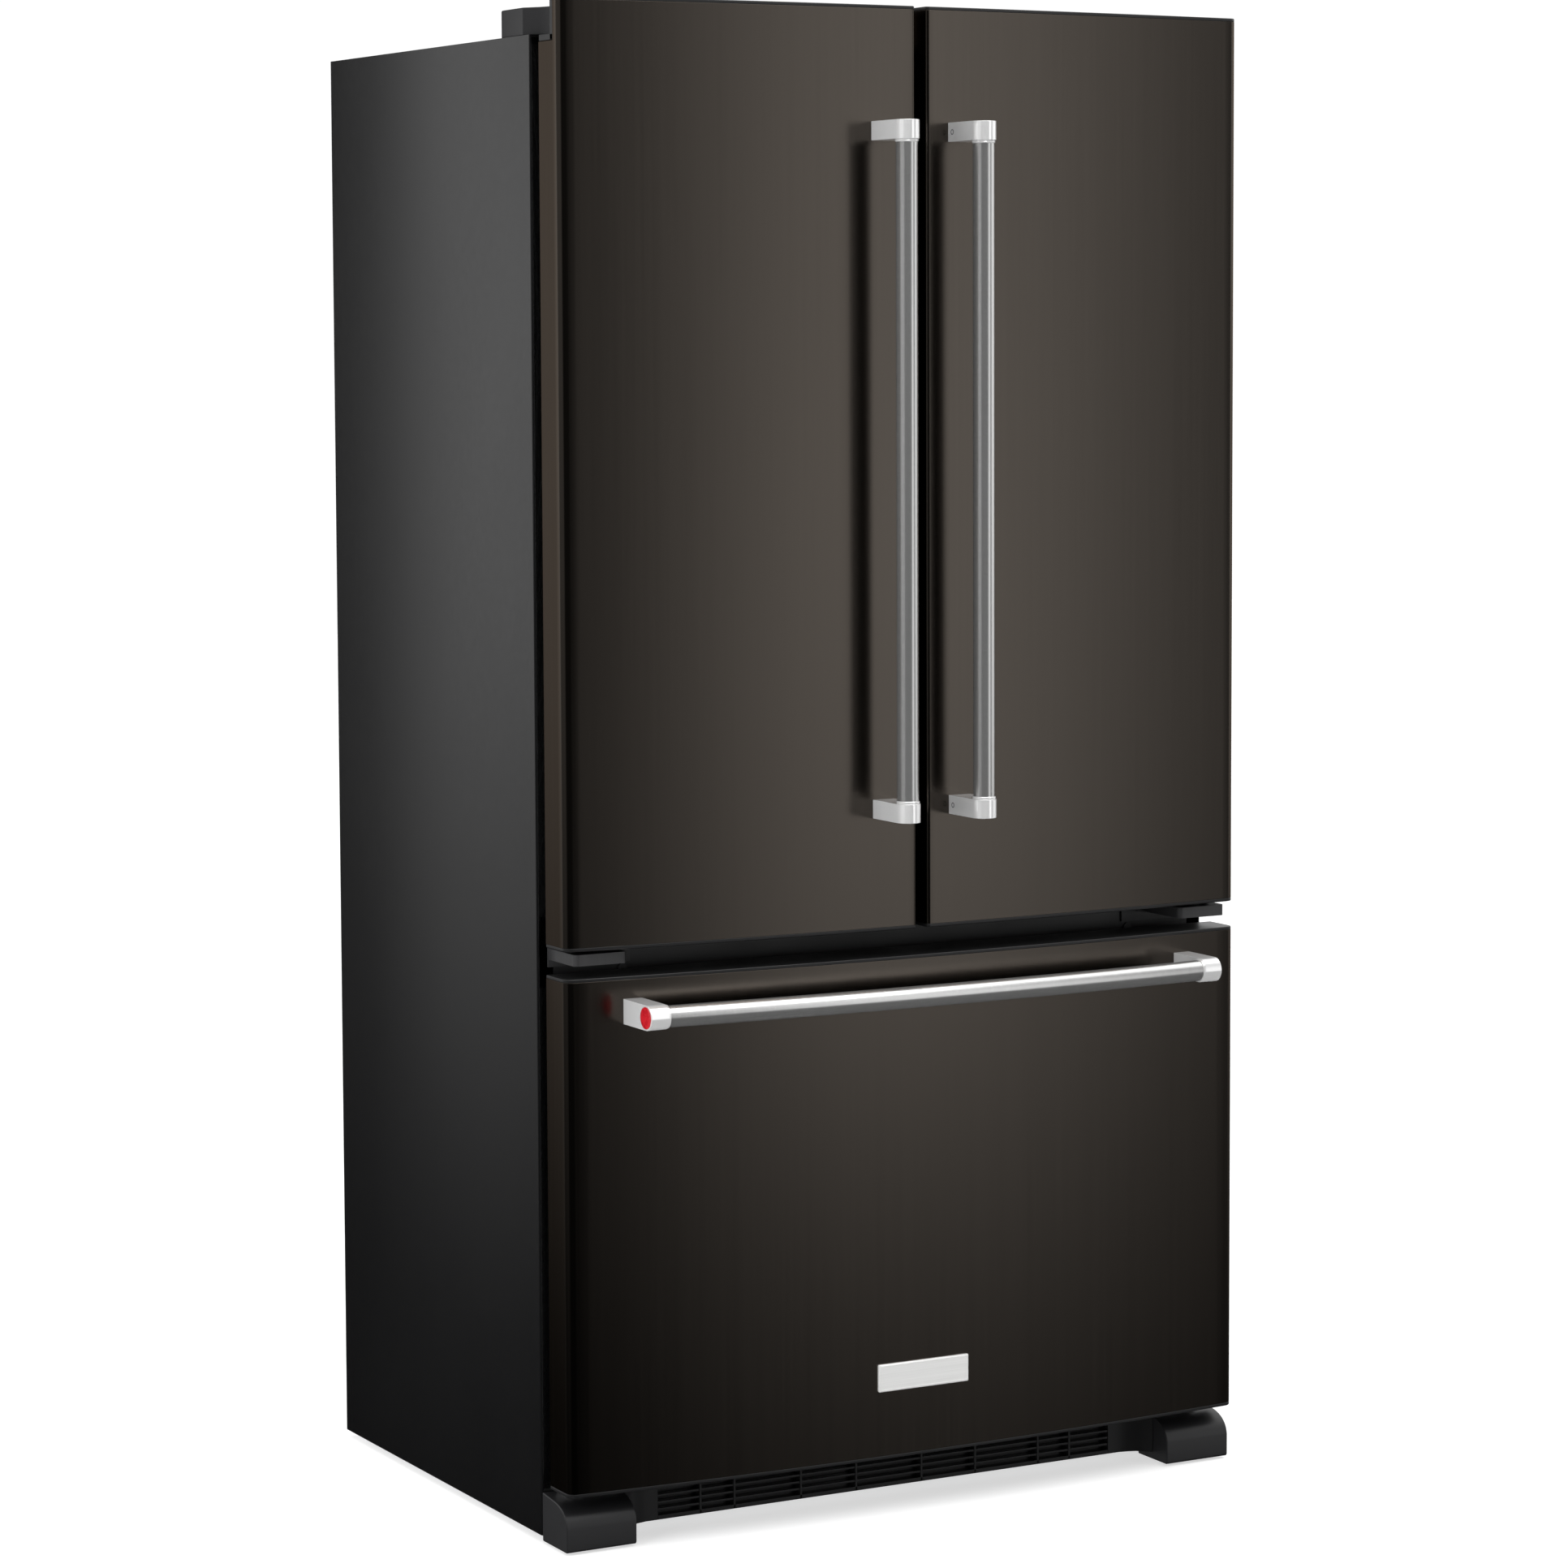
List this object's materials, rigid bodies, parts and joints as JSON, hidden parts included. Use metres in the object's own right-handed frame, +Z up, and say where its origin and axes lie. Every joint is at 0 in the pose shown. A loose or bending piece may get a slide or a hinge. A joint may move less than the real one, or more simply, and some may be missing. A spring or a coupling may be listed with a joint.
{
  "type": "french door refrigerator",
  "caption": "Free-standing refrigerator with two swinging upper doors, tubular bar handles and a sliding bottom freezer drawer.",
  "frame": {"origin": "centre of the bounding box at floor level", "axes": "+X to the right seen from the front, +Y to the back, +Z up; the doors and handles face -Y"},
  "size_m": [0.905, 0.7382, 1.7615],
  "materials": {
    "charcoal_paint": "textured satin paint, dark charcoal",
    "galvanised_steel": "zinc-coated sheet steel",
    "foam": "poured rigid insulating foam, hidden inside the walls",
    "white_liner": "moulded white plastic",
    "black_plastic": "moulded black plastic",
    "charcoal_plastic": "fine-grained charcoal plastic",
    "hinge_steel": "dark grey painted steel",
    "screw_steel": "dark zinc-plated steel",
    "grey_nylon": "grey nylon",
    "black_enamel": "gloss black enamel",
    "coil_metal": "black painted coil and fins",
    "bare_aluminium": "bare aluminium coil and fins",
    "shelf_glass": "tempered glass",
    "clear_plastic": "clear moulded plastic",
    "frost_plastic": "frosted white plastic",
    "gasket_rubber": "soft black magnetic gasket",
    "black_stainless": "brushed black stainless steel with a warm brown tint",
    "satin_steel": "satin brushed stainless steel",
    "bright_chrome": "mirror chrome",
    "badge_silver": "plain satin silver plate with a bevelled edge",
    "red_enamel": "plain glossy red enamel"
  },
  "bodies": {
    "cabinet": {"side_panels": "charcoal_paint", "top_panel": "charcoal_paint", "back_panel": "galvanised_steel", "base_pan": "galvanised_steel", "insulation": "foam", "food_liner": "white_liner", "freezer_liner": "white_liner", "centre_rail": "black_plastic", "hinge_covers": "charcoal_plastic", "hinge_brackets": "hinge_steel", "base_grille": "black_plastic", "foot_covers": "charcoal_plastic", "levelling_feet": "screw_steel", "compressor": "black_enamel", "condenser": "coil_metal", "fan_motors": "black_plastic", "machine_cover": "galvanised_steel", "power_inlet": "black_plastic", "evaporator": "bare_aluminium", "evaporator_cover": "white_liner", "control_panel": "white_liner", "glass_shelves": "shelf_glass", "drawer_slides_outer": "galvanised_steel"},
    "left_door": {"left_door_core": "foam", "left_door_skin": "black_stainless", "left_door_caps": "black_plastic", "left_door_liner": "white_liner", "left_door_gasket": "gasket_rubber", "left_door_bins": "clear_plastic", "left_handle_tube": "satin_steel", "left_handle_posts": "bright_chrome"},
    "right_door": {"right_door_core": "foam", "right_door_skin": "black_stainless", "right_door_caps": "black_plastic", "right_door_liner": "white_liner", "right_door_gasket": "gasket_rubber", "right_door_bins": "clear_plastic", "right_handle_tube": "satin_steel", "right_handle_posts": "bright_chrome"},
    "mullion_flap": {"mullion_flap": "black_plastic"},
    "freezer_drawer": {"drawer_core": "foam", "drawer_skin": "black_stainless", "drawer_caps": "black_plastic", "drawer_liner": "white_liner", "drawer_gasket": "gasket_rubber", "drawer_handle_tube": "satin_steel", "drawer_handle_posts": "bright_chrome", "badge_plate": "badge_silver", "medallion": "red_enamel", "drawer_slides_inner": "galvanised_steel", "lower_basket": "frost_plastic"},
    "slide_middles": {"drawer_slides_middle": "galvanised_steel"},
    "upper_basket": {"upper_basket": "frost_plastic"},
    "crisper_left": {"crisper_left": "clear_plastic"},
    "crisper_right": {"crisper_right": "clear_plastic"},
    "pantry_drawer": {"pantry_drawer": "clear_plastic"},
    "evaporator_fan": {"evaporator_fan_blade": "black_plastic"},
    "condenser_fan": {"condenser_fan_blade": "black_plastic"},
    "front_rollers": {"front_rollers": "grey_nylon"},
    "rear_rollers": {"rear_rollers": "grey_nylon"}
  },
  "joints": [
    {"name": "left_door_swing", "type": "hinge", "parent": "cabinet", "child": "left_door", "pos_m": [-0.432, -0.24288, 0.7], "axis": [0, 0, -1], "range_deg": [0, 120]},
    {"name": "right_door_swing", "type": "hinge", "parent": "cabinet", "child": "right_door", "pos_m": [0.432, -0.24288, 0.7], "axis": [0, 0, 1], "range_deg": [0, 120]},
    {"name": "flap_fold", "type": "hinge", "parent": "left_door", "child": "mullion_flap", "pos_m": [-0.02, -0.19488, 1.2], "axis": [0, 0, -1], "range_deg": [0, 90]},
    {"name": "drawer_pull", "type": "slide", "parent": "cabinet", "child": "freezer_drawer", "axis": [0, -1, 0], "range_m": [0, 0.4]},
    {"name": "slide_middles_run", "type": "slide", "parent": "cabinet", "child": "slide_middles", "axis": [0, -1, 0], "range_m": [0, 0.2]},
    {"name": "upper_basket_pull", "type": "slide", "parent": "cabinet", "child": "upper_basket", "axis": [0, -1, 0], "range_m": [0, 0.07]},
    {"name": "crisper_left_pull", "type": "slide", "parent": "cabinet", "child": "crisper_left", "axis": [0, -1, 0], "range_m": [0, 0.065]},
    {"name": "crisper_right_pull", "type": "slide", "parent": "cabinet", "child": "crisper_right", "axis": [0, -1, 0], "range_m": [0, 0.065]},
    {"name": "pantry_drawer_pull", "type": "slide", "parent": "cabinet", "child": "pantry_drawer", "axis": [0, -1, 0], "range_m": [0, 0.065]},
    {"name": "evaporator_fan_spin", "type": "hinge", "parent": "cabinet", "child": "evaporator_fan", "pos_m": [0, 0.27912, 0.56], "axis": [0, 1, 0], "continuous": true},
    {"name": "condenser_fan_spin", "type": "hinge", "parent": "cabinet", "child": "condenser_fan", "pos_m": [-0.12, 0.26612, 0.152], "axis": [1, 0, 0], "continuous": true},
    {"name": "front_rollers_spin", "type": "hinge", "parent": "cabinet", "child": "front_rollers", "pos_m": [0, -0.12888, 0.0245], "axis": [1, 0, 0], "continuous": true},
    {"name": "rear_rollers_spin", "type": "hinge", "parent": "cabinet", "child": "rear_rollers", "pos_m": [0, 0.32112, 0.022], "axis": [1, 0, 0], "continuous": true}
  ],
  "couplings": [
    {"joint": "slide_middles_run", "follows": "drawer_pull", "ratio": 0.5}
  ]
}
